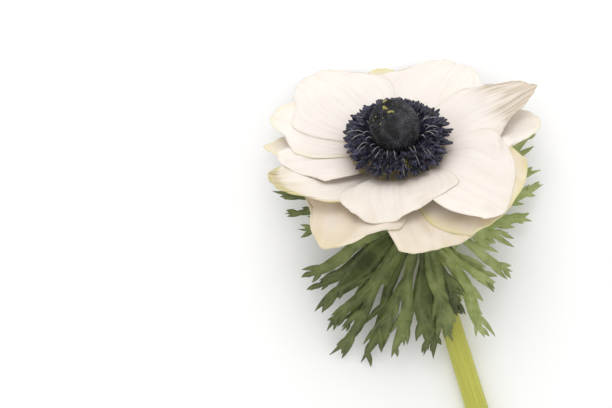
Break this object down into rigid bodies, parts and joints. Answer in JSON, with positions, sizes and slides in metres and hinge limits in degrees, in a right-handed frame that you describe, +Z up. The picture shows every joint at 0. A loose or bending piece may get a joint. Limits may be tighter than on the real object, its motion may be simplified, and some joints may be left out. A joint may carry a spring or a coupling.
{
  "type": "anemone flower",
  "caption": "White anemone flower cut with its stem: overlapping petals, a dark domed centre ringed by dark stamens, and a collar of deeply cut green leaves.",
  "frame": {"origin": "centre of the bounding box, on the surface that the flower lies on", "axes": "+Z up from the surface, +Y from the cut end of the stem towards the bloom, +X to the right when seen from above with the bloom at the top; the bloom faces towards +Y and up"},
  "size_m": [0.0854, 0.1654, 0.0536],
  "materials": {
    "petal_white": "soft petal",
    "dark_centre": "matte, fine grained",
    "anthers": "matte",
    "leaf_green": "leaf",
    "stem_green": "soft satin"
  },
  "bodies": {
    "root": {"centre_dome": "dark_centre", "leaf_front": "leaf_green", "leaf_left": "leaf_green", "leaf_right": "leaf_green", "petal_inner_1": "petal_white", "petal_inner_2": "petal_white", "petal_inner_3": "petal_white", "petal_inner_4": "petal_white", "petal_inner_5": "petal_white", "petal_inner_6": "petal_white", "petal_inner_7": "petal_white", "petal_outer_1": "petal_white", "petal_outer_2": "petal_white", "petal_outer_3": "petal_white", "petal_outer_4": "petal_white", "petal_outer_5": "petal_white", "petal_outer_6": "petal_white", "petal_outer_7": "petal_white", "stamens": "anthers", "stem": "stem_green"}
  },
  "joints": []
}
